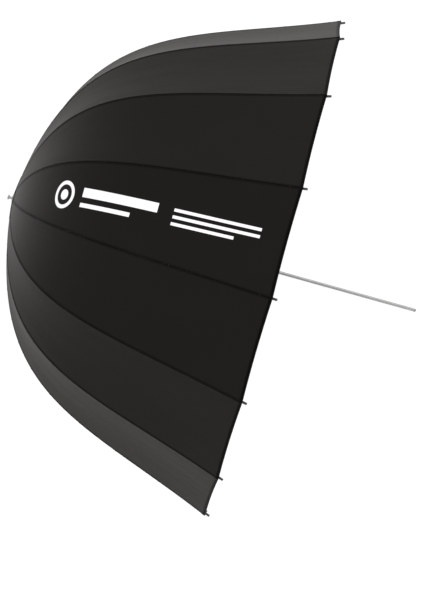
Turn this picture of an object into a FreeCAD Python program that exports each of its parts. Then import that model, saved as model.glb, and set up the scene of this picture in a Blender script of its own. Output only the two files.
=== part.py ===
import FreeCAD, Part
import math
import os
import re

import Sketcher
from FreeCAD import Placement, Rotation, Vector

# Deep umbrella reflector: sixteen sprung ribs on a crown hub, pushed open by sixteen stretchers
# from a runner that slides on a plain round shaft, under a black cover with a white lining.
#
# Row frame: +X along the shaft from the crown to the free end, +Z up, and the origin on the
# shaft's axis where a stand's bracket grips it. Everything is drawn in the crown's own frame,
# where X is 0 at the tip of the cloth's cone and Z is the radius in the plane of the top rib.
# Each sub-part's Placement then turns it about the shaft and moves it to the row frame.

SIZES = {
    # whole umbrella
    "rib_count": 16,
    "rim_radius": 650.0,
    "canopy_depth": 680.0,
    "grip_station": 880.0,
    "shaft_length": 1060.0,
    # the cloth's line along a rib: slopes in degrees from the shaft, and the pull of each end
    "crown_slope": 82.0,
    "rim_slope": 22.5,
    "crown_pull": 505.0,
    "rim_pull": 410.0,
    "cloth_hole": 6.4,
    "cloth_thickness": 1.0,
    "lining_gap": 0.3,
    # ribs
    "rod_radius": 2.0,
    "rib_inset": 6.2,
    "rib_overhang": 6.0,
    "rib_crown_pull": 484.0,
    "rib_rim_pull": 440.0,
    "knuckle_share": 0.36,
    "pivot_station": 15.0,
    "pivot_radius": 16.0,
    "wire_radius": 0.8,
    "eye_radius": 3.0,
    "eye_bore": 1.0,
    "eye_width": 2.6,
    "neck_length": 8.5,
    "rod_entry": 1.5,
    "cup_radius": 2.7,
    "cup_length": 16.0,
    "cap_radius": 2.9,
    "cap_length": 20.0,
    "cap_wall": 4.0,
    "cap_rounding": 1.6,
    # knuckle bracket at the middle of a rib
    "sleeve_radius": 3.6,
    "sleeve_length": 20.0,
    "sleeve_grip": 6.0,
    "cheek_gap": 2.15,
    "cheek_thickness": 1.2,
    "cheek_radius": 4.2,
    "rivet_drop": 8.0,
    "rivet_radius": 1.2,
    "rivet_bore": 1.3,
    "rivet_head": 2.2,
    "rivet_head_height": 0.8,
    # stretchers: a channel of folded steel
    "channel_width": 4.0,
    "channel_depth": 4.4,
    "channel_wall": 0.8,
    "channel_start": 9.5,
    "tongue_grip": 8.0,
    "tongue_margin": 0.7,
    "folded_angle": 3.5,
    "folded_tip_radius": 36.0,
    # gaps: between seated pieces, beside turning ones, and where the runner comes to rest
    "seat_gap": 0.02,
    "turning_gap": 0.05,
    "rest_gap": 0.6,
    # shaft
    "shaft_radius": 4.0,
    "shaft_bore": 3.2,
    "shaft_front": -1.0,
    "clip_groove": 3.55,
    "clip_width": 1.2,
    "clip_radius": 6.6,
    # crown hub, washer and ferrule
    "hub_radius": 21.0,
    "hub_front": 10.4,
    "hub_back": 20.0,
    "hub_core": 12.0,
    "slot_width": 3.2,
    "wire_seat": 15.15,
    "washer_radius": 17.0,
    "washer_front": 8.9,
    "ferrule_tip": -13.0,
    "button_radius": 6.2,
    "neck_radius": 3.6,
    "ferrule_radius": 5.4,
    "flange_radius": 12.0,
    # runner
    "runner_bore": 4.08,
    "sleeve_outer": 9.5,
    "runner_back": 56.0,
    "pull_radius": 12.0,
    "pull_length": 12.0,
    # spring catch in the shaft, behind the open runner
    "catch_height": 3.0,
    "catch_length": 26.0,
    "catch_width": 2.0,
    "catch_room": 0.3,
    # end plug
    "plug_head": 3.6,
    "plug_stem": 3.1,
    "plug_depth": 14.0,
}


def bezier_point(poles, share):
    """The point of a cubic Bezier curve at share of its range, by de Casteljau's rule."""
    while len(poles) > 1:
        poles = [a + (b - a) * share for a, b in zip(poles, poles[1:])]
    return poles[0]


def bezier_halves(poles, share):
    """The poles of the two stretches of a Bezier curve on either side of share."""
    before, after = [], []
    while poles:
        before.append(poles[0])
        after.insert(0, poles[-1])
        poles = [a + (b - a) * share for a, b in zip(poles, poles[1:])]
    return before, after


def along(angle):
    """The unit vector at angle degrees from the shaft, in the plane of the top rib."""
    return Vector(math.cos(math.radians(angle)), 0, math.sin(math.radians(angle)))


def slope_of(vector):
    """A vector's angle from the shaft in degrees, in the plane of the top rib."""
    return math.degrees(math.atan2(vector.z, vector.x))


def cloth_poles(size, depth_in):
    """Poles of the cloth's line along a rib, moved depth_in inside the cover's outer face."""
    first, last = along(size["crown_slope"]), along(size["rim_slope"])
    start = first * (size["cloth_hole"] / first.z)
    end = Vector(size["canopy_depth"], 0, size["rim_radius"])
    inward_first = Vector(first.z, 0, -first.x) * depth_in
    inward_last = Vector(last.z, 0, -last.x) * depth_in
    start, end = start + inward_first, end + inward_last
    return [start, start + first * size["crown_pull"], end - last * size["rim_pull"], end]


def linkage(size):
    """Where the frame's pivots are and how far each turns, from the driving sizes."""
    first, last = along(size["crown_slope"]), along(size["rim_slope"])
    pivot = Vector(size["pivot_station"], 0, size["pivot_radius"])
    end = cloth_poles(size, size["rib_inset"])[-1] + last * size["rib_overhang"]
    rib = [pivot, pivot + first * size["rib_crown_pull"], end - last * size["rib_rim_pull"], end]
    root, tip = bezier_halves(rib, size["knuckle_share"])
    knuckle = root[-1]
    tangent = (tip[1] - tip[0]).normalize()
    rivet = knuckle + Vector(tangent.z, 0, -tangent.x) * size["rivet_drop"]
    arm = rivet - pivot
    open_slope = slope_of(arm)
    rib_turn = open_slope - size["folded_angle"]
    folded = Rotation(Vector(0, 1, 0), rib_turn)
    folded_knuckle = pivot + folded.multVec(knuckle - pivot)
    reach = end - knuckle
    drop = (size["folded_tip_radius"] - folded_knuckle.z) / reach.Length
    flex_turn = slope_of(reach) - rib_turn - math.degrees(math.asin(drop))
    return {
        "root_poles": root,
        "tip_poles": tip,
        "pivot": pivot,
        "knuckle": knuckle,
        "tangent": tangent,
        "rivet": rivet,
        "arm_length": arm.Length,
        "open_slope": open_slope,
        "rib_turn": rib_turn,
        "flex_turn": flex_turn,
        "runner_station": pivot.x + 2 * arm.x,
        "runner_travel": 2 * (arm.Length * math.cos(math.radians(size["folded_angle"])) - arm.x),
    }


def make_sheet(doc, values):
    """The spreadsheet of sizes, one row each: its name, and its value under that alias."""
    sheet = doc.addObject("Spreadsheet::Sheet", "Sizes")
    for row, (name, value) in enumerate(values.items(), start=1):
        sheet.set(f"A{row}", name)
        sheet.set(f"B{row}", str(value))
        sheet.setAlias(f"B{row}", name)
    doc.recompute()
    return sheet


def named(expression):
    """An expression with each word that names a size pointed at its cell."""
    return re.sub(
        "[a-z_]+",
        lambda word: f"Sizes.{word[0]}" if word[0] in ALL_SIZES else word[0],
        expression,
    )


def origin_feature(body, role):
    return next(f for f in body.Origin.OriginFeatures if f.Role == role)


def profile(body, name, corners, plane="XZ_Plane"):
    """A closed outline of straight lines, each corner held by two dimensions from the sheet."""
    sketch = body.newObject("Sketcher::SketchObject", name)
    sketch.AttachmentSupport = [(origin_feature(body, plane), "")]
    sketch.MapMode = "FlatFace"
    points = [
        Vector(*(float(sketch.evalExpression(named(text))) for text in corner), 0)
        for corner in corners
    ]
    for start, end in zip(points, points[1:] + points[:1]):
        sketch.addGeometry(Part.LineSegment(start, end), False)
    count = len(points)
    for line in range(count):
        sketch.addConstraint(Sketcher.Constraint("Coincident", line, 2, (line + 1) % count, 1))
    for line, (corner, point) in enumerate(zip(corners, points)):
        for kind, text, value in zip(("DistanceX", "DistanceY"), corner, point):
            held = sketch.addConstraint(Sketcher.Constraint(kind, -1, 1, line, 1, value))
            sketch.setExpression(f"Constraints[{held}]", named(text))
    return sketch


def turned_body(doc, name, corners):
    """A body turned about the shaft's axis from an outline of station and radius."""
    body = doc.addObject("PartDesign::Body", name + "_body")
    sketch = profile(body, name + "_outline", corners)
    turned = body.newObject("PartDesign::Revolution", name + "_turned")
    turned.Profile = sketch
    turned.ReferenceAxis = (sketch, ["H_Axis"])
    turned.Angle = 360
    sketch.Visibility = False
    doc.recompute()
    return body


def cut_slots(doc, body, front, back):
    """One radial slot for each rib or stretcher, through the ring from front to back."""
    sketch = profile(
        body,
        body.Name + "_slot",
        [
            (f"{front}", "slot_width * 0.5"),
            (f"{back}", "slot_width * 0.5"),
            (f"{back}", "slot_width * -0.5"),
            (f"{front}", "slot_width * -0.5"),
        ],
        plane="XY_Plane",
    )
    sketch.AttachmentOffset = Placement(Vector(0, 0, ALL_SIZES["hub_core"]), Rotation())
    sketch.setExpression("AttachmentOffset.Base.z", named("hub_core"))
    slot = body.newObject("PartDesign::Pocket", body.Name + "_slot_cut")
    slot.Profile = sketch
    slot.Length = ALL_SIZES["hub_radius"]
    slot.setExpression("Length", named("hub_radius"))
    slot.Reversed = True
    ring = body.newObject("PartDesign::PolarPattern", body.Name + "_slots")
    ring.Originals = [slot]
    ring.Axis = (origin_feature(body, "X_Axis"), [""])
    ring.Angle = 360
    ring.Occurrences = int(ALL_SIZES["rib_count"])
    ring.setExpression("Occurrences", named("rib_count"))
    body.Tip = ring
    doc.recompute()


def make_shaft(doc):
    """The steel tube, with a groove for the stop clip and a slot for the spring catch."""
    stop = "stop_station"
    body = turned_body(
        doc,
        "shaft",
        [
            ("shaft_front", "shaft_bore"),
            ("shaft_length", "shaft_bore"),
            ("shaft_length", "shaft_radius"),
            (f"{stop} + clip_width", "shaft_radius"),
            (f"{stop} + clip_width", "clip_groove"),
            (stop, "clip_groove"),
            (stop, "shaft_radius"),
            ("shaft_front", "shaft_radius"),
        ],
    )
    sketch = profile(
        body,
        "catch_slot",
        [
            ("catch_station - catch_room", "catch_width * 0.5 + catch_room"),
            ("catch_station + catch_length + catch_room", "catch_width * 0.5 + catch_room"),
            ("catch_station + catch_length + catch_room", "catch_width * -0.5 - catch_room"),
            ("catch_station - catch_room", "catch_width * -0.5 - catch_room"),
        ],
        plane="XY_Plane",
    )
    cut = body.newObject("PartDesign::Pocket", "catch_slot_cut")
    cut.Profile = sketch
    cut.Length = ALL_SIZES["shaft_radius"] + 1
    cut.setExpression("Length", named("shaft_radius + 1"))
    cut.Reversed = True
    doc.recompute()
    return [body]


def make_ferrule(doc):
    """The bright cap on the shaft's front end, whose flange holds the cloth's centre."""
    lift = "0.3"
    rise = "flange_radius / tan(crown_slope * 1deg)"
    return [
        turned_body(
            doc,
            "ferrule",
            [
                ("ferrule_tip", "0"),
                ("ferrule_tip", "button_radius - 1"),
                ("ferrule_tip + 1", "button_radius"),
                ("ferrule_tip + 3", "button_radius"),
                ("ferrule_tip + 3.8", "neck_radius"),
                ("-2.4", "neck_radius"),
                ("-1.6", "ferrule_radius"),
                (f"{rise} - {lift} - 1.6", "flange_radius - 0.8"),
                (f"{rise} - {lift}", "flange_radius"),
                (f"ferrule_radius / tan(crown_slope * 1deg) - {lift}", "ferrule_radius"),
                ("washer_front - 0.2", "ferrule_radius"),
                ("washer_front - 0.2", "shaft_radius + seat_gap"),
                ("shaft_front - turning_gap", "shaft_radius + seat_gap"),
                ("shaft_front - turning_gap", "0"),
            ],
        )
    ]


def make_washer(doc):
    """The nylon washer between the lining and the crown hub."""
    return [
        turned_body(
            doc,
            "crown_washer",
            [
                ("washer_front", "shaft_radius + seat_gap"),
                ("washer_front", "washer_radius"),
                ("hub_front", "washer_radius"),
                ("hub_front", "shaft_radius + seat_gap"),
            ],
        )
    ]


def make_hub(doc):
    """The crown hub: a slotted ring with a groove round its edge for the rib wire."""
    body = turned_body(
        doc,
        "crown_hub",
        [
            ("hub_front", "shaft_radius + seat_gap"),
            ("hub_front", "hub_radius - 1"),
            ("hub_front + 1", "hub_radius"),
            ("pivot_station - wire_radius - turning_gap", "hub_radius"),
            ("pivot_station - wire_radius - turning_gap", "wire_seat"),
            ("pivot_station + wire_radius + turning_gap", "wire_seat"),
            ("pivot_station + wire_radius + turning_gap", "hub_radius"),
            ("hub_back - 1", "hub_radius"),
            ("hub_back", "hub_radius - 1"),
            ("hub_back", "hub_core - 1"),
            ("hub_back + 4", "hub_core - 3"),
            ("hub_back + 4", "shaft_radius + seat_gap"),
        ],
    )
    cut_slots(doc, body, "hub_front - 1", "hub_back + 1")
    return [body]


def make_runner(doc):
    """The runner: a slotted ring for the stretchers on a long sleeve with a pull at its end."""
    ring = "runner_station"
    body = turned_body(
        doc,
        "runner",
        [
            (f"{ring} - 5", "runner_bore"),
            (f"{ring} - 5", "hub_radius - 1"),
            (f"{ring} - 4", "hub_radius"),
            (f"{ring} - wire_radius - turning_gap", "hub_radius"),
            (f"{ring} - wire_radius - turning_gap", "wire_seat"),
            (f"{ring} + wire_radius + turning_gap", "wire_seat"),
            (f"{ring} + wire_radius + turning_gap", "hub_radius"),
            (f"{ring} + 4", "hub_radius"),
            (f"{ring} + 5", "hub_radius - 1"),
            (f"{ring} + 5", "sleeve_outer"),
            (f"{ring} + runner_back - pull_length - 3", "sleeve_outer"),
            (f"{ring} + runner_back - pull_length", "pull_radius"),
            (f"{ring} + runner_back - 1", "pull_radius"),
            (f"{ring} + runner_back", "pull_radius - 1"),
            (f"{ring} + runner_back", "runner_bore"),
        ],
    )
    cut_slots(doc, body, f"{ring} - 6", f"{ring} + 6")
    return [body]


def make_wire(doc, name, station):
    """A ring of spring wire, on which the eyes of the ribs or the stretchers turn."""
    wire = doc.addObject("Part::Torus", name)
    wire.setExpression("Radius1", named("pivot_radius"))
    wire.setExpression("Radius2", named("wire_radius"))
    wire.Placement = Placement(Vector(0, 0, 0), Rotation(Vector(0, 1, 0), 90))
    wire.setExpression("Placement.Base.x", named(station))
    return [wire]


def make_clip(doc):
    """The stop clip, which keeps the folded runner on the shaft."""
    outer = doc.addObject("Part::Cylinder", "clip_disc")
    inner = doc.addObject("Part::Cylinder", "clip_hole")
    for cylinder, radius in ((outer, "clip_radius"), (inner, "clip_groove + seat_gap")):
        cylinder.setExpression("Radius", named(radius))
        cylinder.setExpression("Height", named("clip_width - 2 * turning_gap"))
        cylinder.Placement = Placement(Vector(0, 0, 0), Rotation(Vector(0, 1, 0), 90))
        cylinder.setExpression("Placement.Base.x", named("stop_station + turning_gap"))
    clip = doc.addObject("Part::Cut", "clip_ring")
    clip.Base, clip.Tool = outer, inner
    return [clip]


def make_catch(doc):
    """The spring catch: a sheet-steel wedge that stands out of the shaft behind the runner."""
    body = doc.addObject("PartDesign::Body", "open_catch_body")
    foot = "shaft_radius - 2.4"
    sketch = profile(
        body,
        "catch_outline",
        [
            ("catch_station", foot),
            ("catch_station + catch_length", foot),
            ("catch_station + catch_length", "shaft_radius - 1.2"),
            ("catch_station + 2", "shaft_radius + catch_height"),
            ("catch_station", "shaft_radius + catch_height"),
        ],
    )
    pad = body.newObject("PartDesign::Pad", "catch_pad")
    pad.Profile = sketch
    pad.Midplane = True
    pad.Length = ALL_SIZES["catch_width"]
    pad.setExpression("Length", named("catch_width"))
    doc.recompute()
    return [body]


def make_plug(doc):
    """The nylon plug in the shaft's free end."""
    return [
        turned_body(
            doc,
            "end_plug",
            [
                ("shaft_length - plug_depth", "0"),
                ("shaft_length - plug_depth", "plug_stem - 0.6"),
                ("shaft_length - plug_depth + 1.5", "plug_stem"),
                ("shaft_length", "plug_stem"),
                ("shaft_length", "plug_head"),
                ("shaft_length + 1.4", "plug_head"),
                ("shaft_length + 2.6", "plug_head - 1.4"),
                ("shaft_length + 2.8", "0"),
            ],
        )
    ]


def solid_feature(doc, name, shape):
    """An object whose shape is set here, for what neither features nor primitives draw."""
    feature = doc.addObject("Part::Feature", name)
    feature.Shape = shape
    return feature


def arc_leaving(start, heading, end):
    """The arc that leaves start along heading and ends at end."""
    chord = end - start
    forward = Vector(chord).normalize()
    aside = (heading - forward * heading.dot(forward)).normalize()
    rise = chord.Length / 2 * math.tan(heading.getAngle(chord) / 2)
    return Part.Arc(start, (start + end) * 0.5 + aside * rise, end).toShape()


def tangent_arcs(poles, stretches):
    """Arcs along a Bezier curve, two to a stretch, each tangent to the next."""
    edges = []
    rest = poles
    for left in range(stretches, 0, -1):
        piece, rest = bezier_halves(rest, 1 / left)
        start, end = piece[0], piece[-1]
        leaving = (piece[1] - start).normalize()
        arriving = (end - piece[-2]).normalize()
        span = end - start
        ahead = span.dot(leaving + arriving)
        spread = 2 * (1 - leaving.dot(arriving))
        reach = (math.sqrt(ahead**2 + spread * span.dot(span)) - ahead) / spread
        middle = (start + end + (leaving - arriving) * reach) * 0.5
        edges.append(arc_leaving(start, leaving, middle))
        edges.append(arc_leaving(middle, (end - arriving * reach - middle).normalize(), end))
    return Part.Wire(edges)


def rod_along(poles, radius):
    """A round rod whose centreline is tangent arcs along a Bezier curve."""
    end = Part.Circle(poles[0], poles[1] - poles[0], radius).toShape()
    return tangent_arcs(poles, 2).makePipe(Part.Face(Part.Wire([end])))


def rod_piece(start, direction, length, radius):
    return Part.makeCylinder(radius, length, start, direction)


def eye(size, centre, bore):
    """A flat round eye about a pivot across the rib's plane."""
    half = Vector(0, size["eye_width"] / 2, 0)
    disc = Part.makeCylinder(size["eye_radius"], size["eye_width"], centre - half, Vector(0, 1, 0))
    hole = Part.makeCylinder(bore, size["eye_width"], centre - half, Vector(0, 1, 0))
    return disc, hole


def neck(size, centre, direction, length):
    """The flat bar from an eye to what carries it."""
    bar = Part.makeBox(length, size["eye_width"], size["eye_radius"])
    bar.translate(Vector(0, -size["eye_width"] / 2, -size["eye_radius"] / 2))
    bar.Placement = Placement(centre, Rotation(Vector(1, 0, 0), direction)).multiply(bar.Placement)
    return bar


def make_rib_root(doc, size, link):
    """Rod, crown eye and knuckle bracket of the stretch from the crown to the knuckle."""
    first = along(size["crown_slope"])
    pivot, knuckle, tangent = link["pivot"], link["knuckle"], link["tangent"]
    start, gap = size["neck_length"] + size["rod_entry"], size["rod_radius"] + 0.4
    rod = rod_along(link["root_poles"], size["rod_radius"])
    rod = rod.cut(rod_piece(pivot - first * 5, first, start + 5, 2 * size["rod_radius"]))
    rod = rod.cut(rod_piece(knuckle - tangent * gap, tangent, 3 * gap, 2 * size["rod_radius"]))

    disc, hole = eye(size, pivot, size["eye_bore"])
    cup = rod_piece(
        pivot + first * size["neck_length"], first, size["cup_length"], size["cup_radius"]
    )
    socket = disc.fuse([neck(size, pivot, first, size["neck_length"] + 1), cup])
    socket = socket.cut(hole).cut(rod).removeSplitter()

    sleeve_end = size["cheek_radius"] + 0.5
    sleeve = rod_piece(
        knuckle - tangent * (size["sleeve_length"] + sleeve_end),
        tangent,
        size["sleeve_length"],
        size["sleeve_radius"],
    )
    sleeve = sleeve.cut(rod)
    bracket = sleeve
    for side in (-1, 1):
        inner = size["cheek_gap"] * side
        bracket = bracket.fuse(cheek(size, link, inner, side, sleeve_end))
    across = size["cheek_gap"] + size["cheek_thickness"]
    hole = Part.makeCylinder(
        size["rivet_radius"], 2 * across, link["rivet"] - Vector(0, across, 0), Vector(0, 1, 0)
    )
    bracket = bracket.cut(hole).removeSplitter()
    rivet = Part.makeCylinder(
        size["rivet_radius"], 2 * across, link["rivet"] - Vector(0, across, 0), Vector(0, 1, 0)
    )
    heads = [
        Part.makeCylinder(
            size["rivet_head"],
            size["rivet_head_height"],
            link["rivet"] + Vector(0, across * side, 0),
            Vector(0, side, 0),
        )
        for side in (-1, 1)
    ]
    rivet = rivet.fuse(heads).removeSplitter()
    return [
        solid_feature(doc, "rib_root_rod", rod),
        solid_feature(doc, "rib_root_socket", socket),
        solid_feature(doc, "rib_root_bracket", bracket),
        solid_feature(doc, "rib_root_rivet", rivet),
    ]


def bar_plate(start, run, half_width, thickness, normal):
    """A flat bar from start along run, half_width to each side, standing up along normal."""
    forward = Vector(run).normalize()
    beside = Vector(forward.z, 0, -forward.x) * half_width
    corners = [start + beside, start + run + beside, start + run - beside, start - beside]
    outline = Part.makePolygon(corners + corners[:1])
    return Part.Face(outline).extrude(normal * thickness)


def cheek(size, link, inner, side, sleeve_end):
    """One side plate of the bracket, from the sleeve past the knuckle and down to the rivet."""
    normal = Vector(0, side, 0)
    base = Vector(0, inner, 0)
    thickness, radius = size["cheek_thickness"], size["cheek_radius"]
    knuckle, rivet = link["knuckle"] + base, link["rivet"] + base
    overlap = link["tangent"] * (sleeve_end + size["sleeve_grip"])
    plate = Part.makeCylinder(radius, thickness, knuckle, normal)
    plate = plate.fuse(
        [
            Part.makeCylinder(radius, thickness, rivet, normal),
            bar_plate(knuckle, rivet - knuckle, radius, thickness, normal),
            bar_plate(knuckle - overlap, overlap, size["sleeve_radius"] - 0.6, thickness, normal),
        ]
    )
    return plate.removeSplitter()


def make_rib_tip(doc, size, link):
    """Rod and end cap of the stretch from the knuckle to past the canopy's rim."""
    rod = rod_along(link["tip_poles"], size["rod_radius"])
    ball = Part.makeSphere(size["rod_radius"], link["knuckle"])
    rod = rod.fuse(ball).removeSplitter()
    last = along(size["rim_slope"])
    end = link["tip_poles"][-1]
    cap_start = end - last * (size["cap_length"] - size["cap_wall"])
    cap = rod_piece(cap_start, last, size["cap_length"], size["cap_radius"])
    cap = cap.cut(rod)
    outer_end = size["cap_wall"] - 0.5
    rounded = [e for e in cap.Edges if (e.BoundBox.Center - end).dot(last) > outer_end]
    cap = cap.makeFillet(size["cap_rounding"], rounded)
    return [
        solid_feature(doc, "rib_tip_rod", rod),
        solid_feature(doc, "rib_tip_cap", cap),
    ]


def make_stretcher(doc):
    """A channel of folded sheet with an eye at each end, drawn along X from the runner's eye."""
    outer = doc.addObject("Part::Box", "channel_outer")
    hollow = doc.addObject("Part::Box", "channel_hollow")
    for box, wall, drop in ((outer, "0", "0"), (hollow, "channel_wall", "channel_wall")):
        box.setExpression("Length", named("arm_length - 2 * channel_start"))
        box.setExpression("Width", named(f"channel_width - 2 * {wall}"))
        box.setExpression("Height", named("channel_depth"))
        box.setExpression("Placement.Base.x", named("channel_start"))
        box.setExpression("Placement.Base.y", named(f"channel_width * -0.5 + {wall}"))
        box.setExpression("Placement.Base.z", named(f"channel_depth * -0.5 - {drop}"))
    channel = doc.addObject("Part::Cut", "channel")
    channel.Base, channel.Tool = outer, hollow

    pieces = [channel]
    holes = []
    for end, station, start, bore in (
        ("runner", "0", "0", "eye_bore"),
        ("rivet", "arm_length", "arm_length - channel_start - tongue_grip", "rivet_bore"),
    ):
        disc = doc.addObject("Part::Cylinder", end + "_eye")
        hole = doc.addObject("Part::Cylinder", end + "_eye_hole")
        for cylinder, radius in ((disc, "eye_radius"), (hole, bore)):
            cylinder.setExpression("Radius", named(radius))
            cylinder.setExpression("Height", named("eye_width"))
            cylinder.Placement = Placement(Vector(0, 0, 0), Rotation(Vector(1, 0, 0), -90))
            cylinder.setExpression("Placement.Base.x", named(station))
            cylinder.setExpression("Placement.Base.y", named("eye_width * -0.5"))
        tongue = doc.addObject("Part::Box", end + "_tongue")
        tongue.setExpression("Length", named("channel_start + tongue_grip"))
        tongue.setExpression("Width", named("eye_width"))
        tongue.setExpression("Height", named("channel_depth - 2 * tongue_margin"))
        tongue.setExpression("Placement.Base.x", named(start))
        tongue.setExpression("Placement.Base.y", named("eye_width * -0.5"))
        tongue.setExpression("Placement.Base.z", named("channel_depth * -0.5 + tongue_margin"))
        pieces += [disc, tongue]
        holes.append(hole)
    joined = doc.addObject("Part::MultiFuse", "stretcher_blank")
    joined.Shapes = pieces
    drilled = joined
    for hole in holes:
        cut = doc.addObject("Part::Cut", hole.Name + "_cut")
        cut.Base, cut.Tool = drilled, hole
        drilled = cut
    # It runs forward from the runner's eye and out to the rivet.
    drilled.Placement = Placement(
        Vector(ALL_SIZES["runner_station"], 0, ALL_SIZES["pivot_radius"]),
        Rotation(Vector(0, 1, 0), ALL_SIZES["open_slope"] - 180),
    )
    drilled.setExpression("Placement.Base.x", named("runner_station"))
    drilled.setExpression("Placement.Base.z", named("pivot_radius"))
    return [drilled]


def gore(size, outside, inside):
    """One sewn panel from a rib to the next: straight across, curved along, between two lines."""
    pitch = 360 / size["rib_count"]
    lines = []
    for depth_in in (outside, inside):
        curve = Part.BezierCurve()
        curve.setPoles(cloth_poles(size, depth_in))
        for turn in (0, pitch):
            edge = curve.toShape()
            edge.rotate(Vector(0, 0, 0), Vector(1, 0, 0), turn)
            lines.append(edge)
    outer_left, outer_right, inner_left, inner_right = lines
    faces = [
        Part.makeRuledSurface(outer_left, outer_right),
        Part.makeRuledSurface(inner_left, inner_right),
        Part.makeRuledSurface(outer_left, inner_left),
        Part.makeRuledSurface(outer_right, inner_right),
    ]
    for end in (0, -1):
        around = (outer_left, outer_right, inner_right, inner_left)
        ring = [line.Vertexes[end].Point for line in around]
        faces.append(Part.Face(Part.makePolygon(ring + ring[:1])))
    shell = Part.makeShell(faces)
    shell.sewShape()
    solid = Part.makeSolid(shell)
    if solid.Volume < 0:
        solid.reverse()
    return solid


def make_canopy(doc, size, name, outside, inside):
    """All the panels of one layer of cloth, side by side."""
    pitch = 360 / size["rib_count"]
    panels = []
    for number in range(int(size["rib_count"])):
        panel = gore(size, outside, inside)
        panel.rotate(Vector(0, 0, 0), Vector(1, 0, 0), number * pitch)
        panels.append(panel)
    return [solid_feature(doc, name + "_panels", Part.makeCompound(panels))]


def place(doc, label, pieces, turn=0):
    """A sub-part: its pieces, turned about the shaft to their rib and moved to the row frame."""
    node = doc.addObject("Part::Compound", "node_" + label)
    node.Label = label
    node.Links = pieces
    node.Placement = Placement(Vector(0, 0, 0), Rotation(Vector(1, 0, 0), 0))
    node.setExpression("Placement.Base.x", named("grip_station * -1"))
    if turn:
        node.Placement.Rotation = Rotation(Vector(1, 0, 0), 1)
        node.setExpression("Placement.Rotation.Angle", named(f"{turn} * 360deg / rib_count"))
    return node


LINK = linkage(SIZES)
ALL_SIZES = dict(SIZES)
for derived in ("arm_length", "open_slope", "runner_station", "runner_travel"):
    ALL_SIZES[derived] = LINK[derived]
ALL_SIZES["catch_station"] = LINK["runner_station"] + SIZES["runner_back"] + SIZES["rest_gap"]
ALL_SIZES["stop_station"] = ALL_SIZES["catch_station"] + LINK["runner_travel"]


def build():
    doc = FreeCAD.newDocument("umbrella_reflector")
    make_sheet(doc, ALL_SIZES)
    cover_in = SIZES["cloth_thickness"]
    lining_out = cover_in + SIZES["lining_gap"]
    lining_in = lining_out + SIZES["cloth_thickness"]
    nodes = [
        place(doc, "shaft", make_shaft(doc)),
        place(doc, "ferrule", make_ferrule(doc)),
        place(doc, "crown_washer", make_washer(doc)),
        place(doc, "crown_hub", make_hub(doc)),
        place(doc, "crown_wire", make_wire(doc, "crown_wire_ring", "pivot_station")),
        place(doc, "runner", make_runner(doc)),
        place(doc, "runner_wire", make_wire(doc, "runner_wire_ring", "runner_station")),
        place(doc, "stop_clip", make_clip(doc)),
        place(doc, "open_catch", make_catch(doc)),
        place(doc, "end_plug", make_plug(doc)),
        place(doc, "canopy_cover", make_canopy(doc, SIZES, "cover", 0, cover_in)),
        place(doc, "canopy_lining", make_canopy(doc, SIZES, "lining", lining_out, lining_in)),
    ]
    rib_root = make_rib_root(doc, SIZES, LINK)
    rib_tip = make_rib_tip(doc, SIZES, LINK)
    stretcher = make_stretcher(doc)
    for number in range(int(SIZES["rib_count"])):
        suffix = f"{number + 1:02d}"
        nodes.append(place(doc, "rib_root_" + suffix, rib_root, number))
        nodes.append(place(doc, "rib_tip_" + suffix, rib_tip, number))
        nodes.append(place(doc, "stretcher_" + suffix, stretcher, number))
    doc.recompute()
    return doc, nodes


def check(doc, nodes):
    """Stops if any object failed to rebuild, or any sub-part isn't made of sound solids."""
    for item in doc.Objects:
        if "Invalid" in item.State or "Error" in item.State:
            raise RuntimeError(f"{item.Name} failed: {item.State}")
    for node in nodes:
        shape = node.Shape
        if shape.isNull() or not shape.isValid() or not shape.Solids:
            raise RuntimeError(f"{node.Label} has no sound shape")
        if any(solid.Volume <= 0 for solid in shape.Solids):
            raise RuntimeError(f"{node.Label} has an empty solid")


def write(nodes):
    os.makedirs("parts", exist_ok=True)
    for node in nodes:
        node.Shape.exportStep(f"parts/{node.Label}.step")
        print(node.Label, len(node.Shape.Solids), round(node.Shape.Volume))


document, sub_parts = build()
check(document, sub_parts)
write(sub_parts)
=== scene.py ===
import math

import bpy
from mathutils import Matrix, Vector


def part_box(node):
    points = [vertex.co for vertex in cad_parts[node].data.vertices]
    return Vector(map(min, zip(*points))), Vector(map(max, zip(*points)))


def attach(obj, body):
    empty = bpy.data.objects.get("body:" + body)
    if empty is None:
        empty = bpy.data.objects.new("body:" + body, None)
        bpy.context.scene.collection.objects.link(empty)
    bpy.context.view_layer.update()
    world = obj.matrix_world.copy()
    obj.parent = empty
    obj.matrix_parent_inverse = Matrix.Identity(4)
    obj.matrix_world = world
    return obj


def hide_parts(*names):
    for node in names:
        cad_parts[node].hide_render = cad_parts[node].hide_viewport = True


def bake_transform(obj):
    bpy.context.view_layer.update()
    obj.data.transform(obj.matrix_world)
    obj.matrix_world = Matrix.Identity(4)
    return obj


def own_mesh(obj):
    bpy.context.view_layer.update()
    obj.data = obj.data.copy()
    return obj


# Looks for the deep umbrella reflector. The frame's own X axis is the shaft, from the crown to the
# free end, and rib 1 stands straight up. Lengths are in metres.

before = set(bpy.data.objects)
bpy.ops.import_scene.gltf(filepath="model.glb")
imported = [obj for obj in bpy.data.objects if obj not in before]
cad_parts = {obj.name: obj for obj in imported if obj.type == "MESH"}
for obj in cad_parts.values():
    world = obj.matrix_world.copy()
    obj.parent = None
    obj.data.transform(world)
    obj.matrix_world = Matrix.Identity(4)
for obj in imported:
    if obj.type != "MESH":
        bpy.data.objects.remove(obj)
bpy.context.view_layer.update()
scene = bpy.context.scene

# The cloth's line along a rib, as the CAD model draws it.
CROWN_SLOPE = math.radians(82.0)
RIM_SLOPE = math.radians(22.5)
CROWN_PULL = 0.505
RIM_PULL = 0.410
CLOTH_HOLE = 0.0064
CLOTH_THICKNESS = 0.001
LINING_INSET = 0.0013

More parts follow.
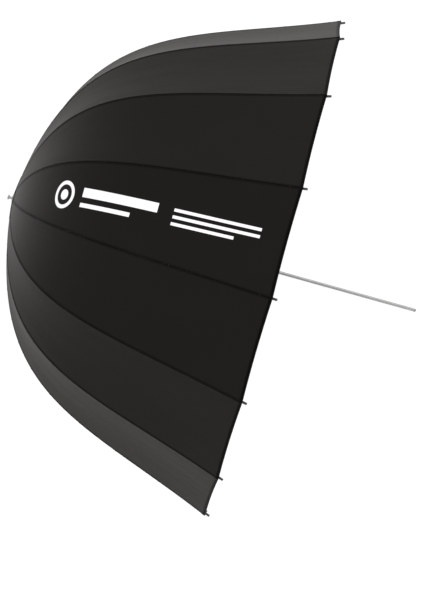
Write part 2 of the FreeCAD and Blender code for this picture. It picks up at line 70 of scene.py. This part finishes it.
# The rods' line, from the hinges at the crown to the tips.
RIBS = 16
HALF_GORE = math.pi / RIBS
HINGE_DEPTH = 0.015
HINGE_RADIUS = 0.016
ROD_CROWN_PULL = 0.484
ROD_RIM_PULL = 0.440
ROD_INSET = 0.0062
ROD_OVERHANG = 0.006
ROD_RADIUS = 0.002
KNUCKLE_SHARE = 0.36

# How the sewn cloth departs from the flat gores between the ribs.
GORE_SAG = 0.0035
HEM_SCALLOP = 0.0025
HEM_WIDTH = 0.010
HEM_SWELL = 0.0006
HEM_SHOULDER = 0.0012
HEM_FOLD = 0.0016
SEAM_HALF_WIDTH = 0.0042
SEAM_SWELL = 0.0004
SEAM_SHOULDER = 0.82

# The share of the rib's line over which the hem's turned-in cloth gains its thickness.
HEM_FOLD_SHARE = 0.0015

# Where the cloth is cut, as lengths along the rib from the cloth's hole. The patch lies over the
# cover round the crown, and presses flat under the ferrule's flange.
CROWN_LENGTH = 0.026
PATCH_LENGTH = 0.060
SHOULDER_LENGTH = 0.220
PATCH_SWELL = 0.0008
PATCH_UNDERSIDE = 0.0006
PATCH_LIFT = 0.0007
FLANGE_RAMP = 0.004

# A tie's turns of thread, and the shape of each: wide round the rod, narrow through the cloth.
THREAD_RADIUS = 0.00038
TIE_TURNS = 3
TIE_WIDENING = 1.25
TIE_NARROWING = 0.45

FLANGE_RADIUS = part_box("ferrule")[1].z
cover_low, cover_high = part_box("canopy_cover")
RIM_RADIUS = cover_high.z
CROWN_X = cover_low.x - CLOTH_HOLE / math.tan(CROWN_SLOPE)
DEPTH = cover_high.x - CROWN_X


def slope_vector(slope):
    return Vector((math.cos(slope), 0, math.sin(slope)))


def bezier(poles, share):
    """The point of a cubic Bezier curve at share of its range."""
    while len(poles) > 1:
        poles = [a.lerp(b, share) for a, b in zip(poles, poles[1:])]
    return poles[0]


def rib_poles():
    """Poles of the cover's outer line along rib 1."""
    first, last = slope_vector(CROWN_SLOPE), slope_vector(RIM_SLOPE)
    crown = Vector((CROWN_X, 0, 0))
    start = crown + first * (CLOTH_HOLE / first.z)
    end = crown + Vector((DEPTH, 0, RIM_RADIUS))
    return [start, start + first * CROWN_PULL, end - last * RIM_PULL, end]


def rod_poles():
    """Poles of the centreline of rib 1's rods."""
    first, last = slope_vector(CROWN_SLOPE), slope_vector(RIM_SLOPE)
    hinge = Vector((CROWN_X + HINGE_DEPTH, 0, HINGE_RADIUS))
    rim_end = Vector((CROWN_X + DEPTH, 0, RIM_RADIUS))
    end = rim_end + Vector((last.z, 0, -last.x)) * ROD_INSET + last * ROD_OVERHANG
    return [hinge, hinge + first * ROD_CROWN_PULL, end - last * ROD_RIM_PULL, end]


POLES = rib_poles()
ROD_POLES = rod_poles()


def rib_line(share):
    """The point and the unit direction of the cover's outer line at share from crown to rim."""
    step = 0.0005
    before = bezier(POLES, max(share - step, 0))
    after = bezier(POLES, min(share + step, 1))
    return bezier(POLES, share), (after - before).normalized()


def arc_lengths(count=400):
    """Lengths along the rib line at evenly spaced shares."""
    lengths = [0.0]
    last = bezier(POLES, 0)
    for step in range(1, count + 1):
        point = bezier(POLES, step / count)
        lengths.append(lengths[-1] + (point - last).length)
        last = point
    return lengths


ARC = arc_lengths()
RIB_LENGTH = ARC[-1]


def length_at(share):
    place = share * (len(ARC) - 1)
    step = min(int(place), len(ARC) - 2)
    return ARC[step] + (ARC[step + 1] - ARC[step]) * (place - step)


def share_at(length):
    """The share of the rib line's range at which it is length long."""
    low, high = 0.0, 1.0
    for _ in range(30):
        middle = (low + high) / 2
        low, high = (middle, high) if length_at(middle) < length else (low, middle)
    return (low + high) / 2


def share_over(point):
    """The share of the rib line's range at which the plane across it holds point."""
    low, high = 0.0, 1.0
    for _ in range(30):
        middle = (low + high) / 2
        on_line, along = rib_line(middle)
        low, high = (middle, high) if (point - on_line).dot(along) > 0 else (low, middle)
    return (low + high) / 2


def ease(value):
    value = min(max(value, 0.0), 1.0)
    return value * value * (3 - 2 * value)


def around(number):
    """The turn about the shaft from rib 1 to this rib."""
    return Matrix.Rotation(2 * math.pi * number / RIBS, 3, "X")


def gore_point(share, across, inset):
    """A point of the cloth by rib 1, in the rib's own plane at across 0, and on the middle of the
    gores beside it at -1 and 1. The cloth is flat across a gore, but for a slight sag inwards,
    which fades towards the crown and the rim, and the hem's scallop, which begins near the rim."""
    point, along = rib_line(share)
    radius = point.z
    middle = Vector((0, math.copysign(math.sin(HALF_GORE), -across), math.cos(HALF_GORE)))
    flat = Vector((0, 0, 1)).lerp(middle * math.cos(HALF_GORE), abs(across))
    inward = Vector((along.z, 0, 0)) - middle * along.x
    sag = 1 - (1 - abs(across)) ** 2
    sagging = GORE_SAG * sag * ease(share * 3) * ease((1 - share) * 5 + 0.25)
    scallop = HEM_SCALLOP * sag * ease((share - 0.7) / 0.3)
    shift = Vector((along.x, 0, 0)) + middle * along.z
    return Vector((point.x, 0, 0)) + flat * radius + inward * (inset + sagging) - shift * scallop


def gore_normal(share, across, inset, side):
    """The cloth's outward normal, on one side of the rib."""
    step = 0.002
    across = max(abs(across), step) * side
    low, high = max(share - step, 0), min(share + step, 1)
    inner = math.copysign(max(abs(across) - step, 0.5 * step), side)
    outer = math.copysign(abs(across) + step, side)
    run = gore_point(high, across, inset) - gore_point(low, across, inset)
    over = gore_point(share, outer, inset) - gore_point(share, inner, inset)
    return (over.cross(run) * -side).normalized()


def outer_swell(share):
    """How far the hem stands out of the cover."""
    from_rim = RIB_LENGTH - length_at(share)
    return HEM_SWELL * ease((HEM_WIDTH - from_rim) / HEM_SHOULDER + 1)


def off_flange(share):
    """0 under the ferrule's flange, where the cloth is pressed flat, and 1 a little way out from it."""
    return ease((rib_line(share)[0].z - FLANGE_RADIUS) / FLANGE_RAMP)


def even(start, end, count):
    return [start + (end - start) * step / count for step in range(count + 1)]


def across_places(share):
    """Where a shell's columns stand at share, and how much of the seam's swell each has."""
    half_width = rib_line(share)[0].z * math.sin(HALF_GORE)
    seam = min(SEAM_HALF_WIDTH / half_width, 0.3)
    side = [(seam * SEAM_SHOULDER, 1)] + [(place, 0) for place in even(seam, 1, 6)]
    return [(-place, swell) for place, swell in reversed(side)] + [(0, 1)] + side


def shell_mesh(name, shares, outer, inner):
    """A closed thin shell of cloth by rib 1. outer and inner give each face's inset by share."""
    rows = [across_places(share) for share in shares]
    width = len(rows[0])
    points = []
    for swell_size, inset in ((SEAM_SWELL, outer), (0, inner)):
        for share, row in zip(shares, rows):
            rise = swell_size * off_flange(share)
            points += [gore_point(share, across, inset(share) - swell * rise) for across, swell in row]
    layer = len(shares) * width
    middle = width // 2

    def corner(face, row, column):
        return face * layer + row * width + column

    faces, kinds = [], []
    for row in range(len(shares) - 1):
        for column in range(width - 1):
            side = -1 if column < middle else 1
            on_shoulder = column in (middle - 2, middle + 1)
            quad = [(row, column), (row + 1, column), (row + 1, column + 1), (row, column + 1)]
            faces.append([corner(0, *place) for place in quad])
            faces.append([corner(1, *place) for place in reversed(quad)])
            kinds += [("flat" if on_shoulder else "outer", side), ("inner", side)]
    rim = [(0, column) for column in range(width)]
    rim += [(row, width - 1) for row in range(1, len(shares))]
    rim += [(len(shares) - 1, column) for column in range(width - 2, -1, -1)]
    rim += [(row, 0) for row in range(len(shares) - 2, 0, -1)]
    for here, there in zip(rim, rim[1:] + rim[:1]):
        faces.append([corner(0, *here), corner(0, *there), corner(1, *there), corner(1, *here)])
        kinds.append(("flat", 0))

    mesh = bpy.data.meshes.new(name)
    mesh.from_pydata([tuple(point) for point in points], [], faces)
    mesh.update()
    mesh.shade_smooth()
    normals, cloth_uv = [], mesh.uv_layers.new(name="cloth")
    for polygon, (kind, side) in zip(mesh.polygons, kinds):
        for loop in polygon.loop_indices:
            row, column = divmod(mesh.loops[loop].vertex_index % layer, width)
            share, across = shares[row], rows[row][column][0]
            radius = rib_line(share)[0].z
            cloth_uv.data[loop].uv = (across * radius * math.sin(HALF_GORE), length_at(share))
            if kind == "flat":
                normals.append(tuple(polygon.normal))
            elif kind == "outer":
                normals.append(tuple(gore_normal(share, across, outer(share), side)))
            else:
                normals.append(tuple(-gore_normal(share, across, inner(share), side)))
    mesh.normals_split_custom_set(normals)
    return mesh


def link(name, mesh, *materials):
    piece = bpy.data.objects.new(name, mesh)
    scene.collection.objects.link(piece)
    for material in materials:
        mesh.materials.append(material)
    return piece


# ---------------------------------------------------------------- materials


class Nodes:
    """A material's node tree, with short calls for what the materials below share."""

    def __init__(self, name):
        self.material = bpy.data.materials.new(name)
        self.material.use_nodes = True
        self.tree = self.material.node_tree
        self.shader = self.tree.nodes["Principled BSDF"]

    def add(self, kind, **inputs):
        node = self.tree.nodes.new(kind)
        for key, value in inputs.items():
            self.put(node, key.replace("_", " "), value)
        return node

    def put(self, node, key, value):
        socket = node.inputs[int(key)] if key.isdigit() else node.inputs[key]
        if isinstance(value, bpy.types.NodeSocket):
            self.tree.links.new(value, socket)
        else:
            socket.default_value = value

    def maths(self, operation, *values):
        node = self.tree.nodes.new("ShaderNodeMath")
        node.operation = operation
        for place, value in enumerate(values):
            self.put(node, str(place), value)
        return node.outputs[0]

    def noise(self, vector, scale, detail=2.0):
        node = self.add("ShaderNodeTexNoise", Scale=scale, Detail=detail, Vector=vector)
        return node.outputs["Fac"]

    def between(self, value, low, high):
        """1 where value lies between low and high, with soft edges, else 0."""
        node = self.add("ShaderNodeMapRange", Value=value)
        node.interpolation_type = "SMOOTHSTEP"
        self.put(node, "From Min", low)
        self.put(node, "From Max", high)
        return node.outputs["Result"]

    def near(self, value, centre, reach, edge=0.0006):
        """1 where value is within reach of centre, else 0."""
        apart = self.maths("ABSOLUTE", self.maths("SUBTRACT", value, centre))
        return self.maths("SUBTRACT", 1.0, self.between(apart, reach - edge, reach + edge))

    def mix_colour(self, share, first, second):
        node = self.add("ShaderNodeMix")
        node.data_type = "RGBA"
        for key, value in (("Factor", share), ("A", first), ("B", second)):
            socket = next(s for s in node.inputs if s.name == key and s.enabled)
            if isinstance(value, bpy.types.NodeSocket):
                self.tree.links.new(value, socket)
            else:
                socket.default_value = value
        return next(s for s in node.outputs if s.enabled)

    def mapped(self, vector, scale):
        node = self.add("ShaderNodeMapping", Vector=vector, Scale=scale)
        return node.outputs["Vector"]

    def bump(self, height, strength, distance, normal=None):
        node = self.add("ShaderNodeBump", Height=height, Strength=strength, Distance=distance)
        if normal is not None:
            self.put(node, "Normal", normal)
        return node.outputs["Normal"]

    def finish(self, **inputs):
        for key, value in inputs.items():
            self.put(self.shader, key.replace("_", " "), value)
        return self.material


# Radians of the sine waves that draw the stitches and the weave, per metre of cloth.
STITCHES_PER_METRE = 2100.0
THREADS_PER_METRE = 6500.0

# The rows of stitches, from the rib's line and from the rim.
SEAM_STITCH_PLACE = 0.0026
HEM_STITCH_PLACE = 0.0078
STITCH_HALF_WIDTH = 0.0007

# The print, measured from the crown along the gore.
RING_PLACE = 0.43
RING_RADIUS = 0.029
RING_HALF_WIDTH = 0.0045
DOT_RADIUS = 0.0125

# Each bar's start and end from the ring's centre, its height, and its place up from the gore's middle.
PRINTED_BARS = [
    (0.060, 0.265, 0.022, 0.012),
    (0.060, 0.200, 0.010, -0.018),
    (0.305, 0.520, 0.007, 0.016),
    (0.305, 0.520, 0.007, 0.000),
    (0.305, 0.460, 0.007, -0.016),
]


def grey(value, warm=0.0):
    return (value * (1 + warm), value, value * (1 - warm), 1.0)


def cloth_material(name, dark, light, seam_shade, roughness, specular, sheen):
    """Satin nylon: a fine weave, cloudy shade, puckers beside each seam, and rows of stitches.
    The seams, the folds beside them, the rows of stitches and the hem are darker and duller than
    the rest: painted shade, darkened in the colour and with less specular and sheen."""
    nodes = Nodes(name)
    cloth_map = nodes.add("ShaderNodeUVMap")
    cloth_map.uv_map = "cloth"
    place = cloth_map.outputs["UV"]
    apart = nodes.add("ShaderNodeSeparateXYZ", Vector=place)
    across, along = apart.outputs["X"], apart.outputs["Y"]
    from_rib = nodes.maths("ABSOLUTE", across)
    from_rim = nodes.maths("SUBTRACT", RIB_LENGTH, along)

    clouds = nodes.noise(place, 7.0, 4.0)
    mottle = nodes.noise(nodes.mapped(place, (260, 90, 1)), 1.0, 3.0)
    broad = nodes.maths("MULTIPLY", clouds, 0.7)
    shade = nodes.maths("ADD", broad, nodes.maths("MULTIPLY", mottle, 0.3))
    colour = nodes.mix_colour(shade, dark, light)

    seam = nodes.near(from_rib, 0.0, 0.0016)
    seam_edge = nodes.near(from_rib, SEAM_HALF_WIDTH, 0.0008)
    stitch_run = nodes.maths("SINE", nodes.maths("MULTIPLY", along, STITCHES_PER_METRE))
    seam_row = nodes.near(from_rib, SEAM_STITCH_PLACE, STITCH_HALF_WIDTH)
    hem_row = nodes.near(from_rim, HEM_STITCH_PLACE, STITCH_HALF_WIDTH)
    seam_stitch = nodes.maths("MULTIPLY", seam_row, nodes.between(stitch_run, -0.4, 0.2))
    hem_run = nodes.maths("SINE", nodes.maths("MULTIPLY", across, STITCHES_PER_METRE))
    hem_stitch = nodes.maths("MULTIPLY", hem_row, nodes.between(hem_run, -0.4, 0.2))
    hem = nodes.maths("SUBTRACT", 1.0, nodes.between(from_rim, 0.55 * HEM_WIDTH, 0.75 * HEM_WIDTH))
    stitches = nodes.maths("MAXIMUM", seam_stitch, hem_stitch)
    folds = nodes.maths("MAXIMUM", seam, nodes.maths("MULTIPLY", seam_edge, 0.6))
    dents_and_painted_shade = nodes.maths("MAXIMUM", folds, stitches)
    # Painted shade: the seams, the folds beside them, the stitch rows and the hem band are darkened
    # towards seam_shade in the colour, and their specular and sheen are turned down.
    shaded = nodes.maths("MULTIPLY", nodes.maths("MAXIMUM", dents_and_painted_shade, hem), 0.72)
    colour = nodes.mix_colour(shaded, colour, seam_shade)
    shine = nodes.maths("SUBTRACT", 1.0, shaded)

    warp = nodes.maths("SINE", nodes.maths("MULTIPLY", across, THREADS_PER_METRE))
    weft = nodes.maths("SINE", nodes.maths("MULTIPLY", along, THREADS_PER_METRE))
    weave = nodes.maths("MULTIPLY", warp, weft)
    ripples = nodes.noise(nodes.mapped(place, (9, 2.2, 1)), 1.0, 3.0)
    by_seam = nodes.maths("SUBTRACT", 1.0, nodes.between(from_rib, 0.004, 0.030))
    puckers = nodes.maths("MULTIPLY", nodes.noise(nodes.mapped(place, (14, 120, 1)), 1.0, 2.0), by_seam)
    normal = nodes.bump(ripples, 0.25, 0.010)
    normal = nodes.bump(puckers, 0.35, 0.0012, normal)
    normal = nodes.bump(nodes.maths("MULTIPLY", dents_and_painted_shade, -1.0), 0.6, 0.0008, normal)
    normal = nodes.bump(weave, 0.06, 0.0002, normal)
    rough = nodes.maths("ADD", roughness - 0.04, nodes.maths("MULTIPLY", mottle, 0.08))
    return nodes, colour, dict(
        Roughness=rough,
        Specular_IOR_Level=nodes.maths("MULTIPLY", shine, specular),
        Specular_Tint=(1.0, 0.93, 0.87, 1.0),
        Sheen_Weight=nodes.maths("MULTIPLY", shine, sheen),
        Sheen_Roughness=0.45,
        Sheen_Tint=(1.0, 0.87, 0.76, 1.0),
        Normal=normal,
    )


def printed(nodes, colour):
    """The white print on one gore of the cover: a ring, a dot and plain bars, with no lettering."""
    place = nodes.add("ShaderNodeUVMap")
    place.uv_map = "print"
    apart = nodes.add("ShaderNodeSeparateXYZ", Vector=place.outputs["UV"])
    up, along = apart.outputs["X"], apart.outputs["Y"]

    def bar(start, end, height, centre_up):
        length = nodes.near(along, (start + end) / 2, (end - start) / 2)
        return nodes.maths("MULTIPLY", length, nodes.near(up, centre_up, height / 2))

    square_up = nodes.maths("MULTIPLY", up, up)
    from_ring = nodes.maths("SUBTRACT", along, RING_PLACE)
    square_along = nodes.maths("MULTIPLY", from_ring, from_ring)
    radius = nodes.maths("SQRT", nodes.maths("ADD", square_up, square_along))
    mark = nodes.near(radius, RING_RADIUS, RING_HALF_WIDTH)
    others = [nodes.near(radius, 0.0, DOT_RADIUS)]
    for start, end, height, centre_up in PRINTED_BARS:
        others.append(bar(RING_PLACE + start, RING_PLACE + end, height, centre_up))
    for other in others:
        mark = nodes.maths("MAXIMUM", mark, other)
    return nodes.mix_colour(mark, colour, grey(0.86))


def cover_material():
    # Its fourth colour, grey(0.0010), is painted shade for the seams, stitch rows and hem.
    nodes, colour, finish = cloth_material(
        "black_satin", grey(0.0026, 0.06), grey(0.0048, 0.10), grey(0.0010), 0.50, 0.10, 0.022
    )
    return nodes.finish(Base_Color=printed(nodes, colour), **finish)


def lining_material():
    # Its fourth colour, grey(0.50), is painted shade for the seams, stitch rows and hem of the white
    # lining.
    nodes, colour, finish = cloth_material(
        "white_satin", grey(0.76, 0.004), grey(0.86, 0.002), grey(0.50), 0.55, 0.35, 0.10
    )
    return nodes.finish(Base_Color=colour, **finish)


def thread_material():
    """Twisted sewing thread: fine slanting plies."""
    nodes = Nodes("black_thread")
    place = nodes.add("ShaderNodeTexCoord").outputs["Object"]
    plies = nodes.noise(nodes.mapped(place, (2400, 2400, 2400)), 1.0, 1.0)
    return nodes.finish(
        Base_Color=nodes.mix_colour(plies, grey(0.003), grey(0.012)),
        Roughness=0.62,
        Specular_IOR_Level=0.12,
        Sheen_Weight=0.03,
        Normal=nodes.bump(plies, 0.4, 0.0002),
    )


def metal_material(name, colour, roughness, streaks):
    """Drawn or turned metal: fine streaks round the part, smudges, and a little dullness in them."""
    nodes = Nodes(name)
    place = nodes.add("ShaderNodeTexCoord").outputs["Object"]
    fine = nodes.noise(nodes.mapped(place, streaks), 1.0, 3.0)
    smudge = nodes.noise(place, 22.0, 3.0)
    darker = tuple(channel * 0.72 for channel in colour[:3]) + (1.0,)
    tone = nodes.maths("ADD", nodes.maths("MULTIPLY", fine, 0.5), nodes.maths("MULTIPLY", smudge, 0.5))
    rough = nodes.maths("ADD", roughness - 0.08, nodes.maths("MULTIPLY", tone, 0.16))
    return nodes.finish(
        Base_Color=nodes.mix_colour(tone, darker, colour),
        Roughness=rough,
        Metallic=1.0,
        Normal=nodes.bump(fine, 0.15, 0.0002),
    )


def painted_steel(name, colour, roughness):
    """Black stoved paint on steel: orange peel, and small worn specks."""
    nodes = Nodes(name)
    place = nodes.add("ShaderNodeTexCoord").outputs["Object"]
    peel = nodes.noise(place, 900.0, 2.0)
    wear = nodes.noise(place, 240.0, 5.0)
    worn = nodes.between(wear, 0.70, 0.78)
    return nodes.finish(
        Base_Color=nodes.mix_colour(worn, colour, grey(0.12)),
        Roughness=nodes.maths("ADD", roughness, nodes.maths("MULTIPLY", peel, 0.15)),
        Normal=nodes.bump(peel, 0.12, 0.0003),
    )


def moulded_nylon(name, colour, roughness):
    """Moulded nylon: spark-eroded grain and slight flow marks."""
    nodes = Nodes(name)
    place = nodes.add("ShaderNodeTexCoord").outputs["Object"]
    grain = nodes.noise(place, 2600.0, 2.0)
    flow = nodes.noise(nodes.mapped(place, (18, 70, 70)), 1.0, 3.0)
    lighter = tuple(min(channel * 1.9 + 0.006, 1) for channel in colour[:3]) + (1.0,)
    return nodes.finish(
        Base_Color=nodes.mix_colour(nodes.maths("MULTIPLY", flow, 0.8), colour, lighter),
        Roughness=nodes.maths("ADD", roughness, nodes.maths("MULTIPLY", grain, 0.18)),
        Specular_IOR_Level=0.22,
        Normal=nodes.bump(grain, 0.20, 0.0002),
    )


COVER = cover_material()
LINING = lining_material()
SHAFT_STEEL = metal_material("zinc_plated_tube", grey(0.27), 0.30, (30, 900, 900))
NICKEL = metal_material("bright_nickel", grey(0.42, 0.02), 0.22, (1500, 60, 60))
SPRING_STEEL = metal_material("spring_steel", grey(0.42), 0.32, (600, 600, 600))
RIB_PAINT = painted_steel("black_rib_steel", grey(0.018), 0.30)
STRETCHER_PAINT = painted_steel("black_stretcher_steel", grey(0.022), 0.36)
NYLON = moulded_nylon("black_nylon", grey(0.007), 0.46)
THREAD = thread_material()


def dress_frame():
    """Puts a finish on each CAD node that shows."""
    finishes = {
        "shaft": SHAFT_STEEL,
        "ferrule": NICKEL,
        "crown_wire": SPRING_STEEL,
        "runner_wire": SPRING_STEEL,
        "stop_clip": SPRING_STEEL,
        "open_catch": SPRING_STEEL,
        "rib": RIB_PAINT,
        "stretcher": STRETCHER_PAINT,
    }
    for name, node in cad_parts.items():
        finish = finishes.get(name, finishes.get(name.split("_")[0], NYLON))
        for slot in node.material_slots:
            slot.link = "OBJECT"
            slot.material = finish


# ---------------------------------------------------------------- canopy


def turned(mesh, number):
    """A copy of a mesh drawn by rib 1, turned to this rib."""
    copy = mesh.copy()
    copy.transform(around(number).to_4x4())
    return copy


# The gore after this rib, counted from 0, has the print.
PRINTED_GORE = 3


def add_print(mesh, number):
    """The second map, in which the print lies along the middle of one gore."""
    print_uv = mesh.uv_layers.new(name="print")
    cloth_uv = mesh.uv_layers["cloth"]
    side = {PRINTED_GORE: 1, PRINTED_GORE + 1: -1}.get(number)
    far_away = Vector((9.0, 9.0))
    for loop, place in zip(print_uv.data, cloth_uv.data):
        along = place.uv.y
        half = rib_line(share_at(along))[0].z * math.sin(HALF_GORE)
        on_gore = side is not None and place.uv.x * side > -1e-6
        loop.uv = (side * (half - abs(place.uv.x)), along) if on_gore else far_away


def add_cloth(layer, mesh, number, node, slot, material):
    """One rib's piece of a layer, with its material."""
    copy = turned(mesh, number)
    if layer.startswith("cover"):
        add_print(copy, number)
    piece = link(f"{layer}_{number + 1:02d}", copy, material)
    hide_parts(node)
    return piece


COVER_CLOTH = ("canopy_cover", "black_cloth", COVER)
LINING_CLOTH = ("canopy_lining", "white_cloth", LINING)


def build_crown():
    """The crown's round patch and the lining under it, held by the ferrule and bent by the ribs."""
    patch = shell_mesh(
        "crown_patch",
        even(0, share_at(PATCH_LENGTH), 12),
        lambda share: -PATCH_SWELL * off_flange(share),
        lambda share: PATCH_UNDERSIDE - PATCH_LIFT * off_flange(share),
    )
    lining = shell_mesh(
        "crown_lining",
        even(0, share_at(CROWN_LENGTH), 10),
        lambda share: LINING_INSET,
        lambda share: LINING_INSET + CLOTH_THICKNESS,
    )
    layers = [("crown_patch", patch, COVER_CLOTH), ("crown_lining", lining, LINING_CLOTH)]
    for layer, mesh, cloth in layers:
        for number in range(RIBS):
            piece = add_cloth(layer, mesh, number, *cloth)
            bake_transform(piece)


def build_canopy():
    """Cover and lining, split between the ribs, at the knuckles, and again nearer the crown, where
    the folded ribs leave the cloth more room. Each stretch also lists the shares of its width
    that the cover and the lining keep as they fold, which nothing here reads."""
    hem_start = share_at(RIB_LENGTH - HEM_WIDTH)
    fold_share = share_over(bezier(ROD_POLES, KNUCKLE_SHARE))
    hem_rows = [hem_start - HEM_FOLD_SHARE, hem_start]
    shoulder_share = share_at(SHOULDER_LENGTH)
    stretches = {
        "shoulder": (even(share_at(CROWN_LENGTH), shoulder_share, 16), 0.54, 0.30),
        "root": (even(shoulder_share, fold_share, 18), 0.30, 0.14),
        "tip": (sorted(even(fold_share, 1, 30) + hem_rows), 0.16, 0.08),
    }
    for stretch, (shares, cover_keep, lining_keep) in stretches.items():
        body = "rib_tip" if stretch == "tip" else "rib_root"
        last = hem_start if stretch == "tip" else shares[-1]
        hem_fold = HEM_FOLD if stretch == "tip" else 0
        cover = shell_mesh(
            "cover_" + stretch,
            shares,
            lambda share: -outer_swell(share),
            lambda share: CLOTH_THICKNESS + hem_fold * ease((share - hem_start) / HEM_FOLD_SHARE),
        )
        lining = shell_mesh(
            "lining_" + stretch,
            [share for share in shares if share <= last + 1e-9],
            lambda share: LINING_INSET,
            lambda share: LINING_INSET + CLOTH_THICKNESS,
        )
        for layer, mesh, cloth, keep in (
            ("cover", cover, COVER_CLOTH, cover_keep),
            ("lining", lining, LINING_CLOTH, lining_keep),
        ):
            for number in range(RIBS):
                piece = add_cloth(f"{layer}_{stretch}", mesh, number, *cloth)
                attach(piece, f"{body}_{number + 1:02d}")
                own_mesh(piece)


# Where thread ties the cloth to the rods, as shares of the rods' line.
TIES = {"root": (0.10, 0.18, 0.26, 0.33), "tip": (0.42, 0.52, 0.64, 0.76, 0.88, 0.972)}


def tie_loop(share, shift, points, faces):
    """One turn of thread round the rod and through the cloth, shift metres along the rib."""
    on_rod = bezier(ROD_POLES, share)
    point, along = rib_line(share_over(on_rod))
    outward = Vector((-along.z, 0, along.x))
    centre = on_rod + along * shift
    lowest = -(ROD_RADIUS + THREAD_RADIUS)
    highest = (point - on_rod).length + SEAM_SWELL + THREAD_RADIUS
    steps, sides = 18, 6
    first = len(points)
    for step in range(steps):
        angle = 2 * math.pi * step / steps
        height = (lowest + highest) / 2 - math.cos(angle) * (highest - lowest) / 2
        rise = (height - lowest) / (highest - lowest)
        half = (ROD_RADIUS + THREAD_RADIUS) * TIE_WIDENING * (1 - TIE_NARROWING * ease(rise))
        spot = centre + outward * height + Vector((0, half * math.sin(angle), 0))
        spoke = (outward * -math.cos(angle) + Vector((0, math.sin(angle), 0))).normalized()
        for side in range(sides):
            turn = 2 * math.pi * side / sides
            points.append(spot + (spoke * math.cos(turn) + along * math.sin(turn)) * THREAD_RADIUS)
            here, there = first + step * sides, first + (step + 1) % steps * sides
            after = (side + 1) % sides
            faces.append([here + side, here + after, there + after, there + side])


def build_ties():
    for stretch, places in TIES.items():
        points, faces = [], []
        for share in places:
            for shift in even(-1, 1, TIE_TURNS - 1):
                tie_loop(share, shift * 2 * THREAD_RADIUS, points, faces)
        mesh = bpy.data.meshes.new("ties_" + stretch)
        mesh.from_pydata([tuple(point) for point in points], [], faces)
        mesh.update()
        mesh.shade_smooth()
        for number in range(RIBS):
            piece = link(f"ties_{stretch}_{number + 1:02d}", turned(mesh, number), THREAD)
            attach(piece, f"rib_{stretch}_{number + 1:02d}")


# ---------------------------------------------------------------- view and light

AIM = Vector((-0.3231, 0, -0.1139))
VIEW_AZIMUTH = math.radians(-0.21)
VIEW_ELEVATION = math.radians(6.66)
VIEW_ROLL = math.radians(15.59)
VIEW_DISTANCE = 4.541
LENS = 106.9

FLOOR_HALF_WIDTH = 40.0
FLOOR_HEIGHT = -1.6


def add_camera():
    camera = bpy.data.cameras.new("camera")
    camera.lens = LENS
    camera.sensor_width = 36.0
    camera.clip_end = 60.0
    eye = bpy.data.objects.new("camera", camera)
    scene.collection.objects.link(eye)
    back = Vector((
        math.sin(VIEW_AZIMUTH) * math.cos(VIEW_ELEVATION),
        -math.cos(VIEW_AZIMUTH) * math.cos(VIEW_ELEVATION),
        math.sin(VIEW_ELEVATION),
    ))
    look = (-back).to_track_quat("-Z", "Y").to_matrix()
    roll = Matrix.Rotation(VIEW_ROLL, 3, "Z")
    eye.matrix_world = Matrix.Translation(AIM + back * VIEW_DISTANCE) @ (look @ roll).to_4x4()
    scene.camera = eye


def add_softbox(name, place, target, size, power, tint=(1, 1, 1)):
    light = bpy.data.lights.new(name, "AREA")
    light.shape = "RECTANGLE"
    light.size, light.size_y = size
    light.energy = power
    light.color = tint
    box = bpy.data.objects.new(name, light)
    box.location = place
    box.rotation_euler = (Vector(target) - Vector(place)).to_track_quat("-Z", "Y").to_euler()
    scene.collection.objects.link(box)


def add_studio():
    world = bpy.data.worlds.new("studio")
    world.use_nodes = True
    world.node_tree.nodes["Background"].inputs["Color"].default_value = (1, 1, 1, 1)
    world.node_tree.nodes["Background"].inputs["Strength"].default_value = 1.08
    scene.world = world
    scene.view_settings.view_transform = "Standard"
    centre = (CROWN_X + DEPTH / 2, 0, 0)
    add_softbox("top_box", (0.1, -1.8, 3.2), centre, (2.4, 2.4), 60)
    add_softbox("low_box", (0.7, -0.9, -1.4), centre, (1.2, 1.2), 20, (1.0, 0.95, 0.90))

    floor_mesh = bpy.data.meshes.new("floor")
    half = FLOOR_HALF_WIDTH
    corners = [(x * half, y * half, FLOOR_HEIGHT) for x, y in ((-1, -1), (1, -1), (1, 1), (-1, 1))]
    floor_mesh.from_pydata(corners, [], [(0, 1, 2, 3)])
    nodes = Nodes("studio_floor")
    place = nodes.add("ShaderNodeTexCoord").outputs["Object"]
    faint = nodes.noise(place, 3.0)
    white = nodes.mix_colour(faint, grey(0.93), grey(0.95))
    floor = link("floor", floor_mesh, nodes.finish(Base_Color=white, Roughness=0.9))


dress_frame()
build_crown()
build_canopy()
build_ties()
add_camera()
add_studio()
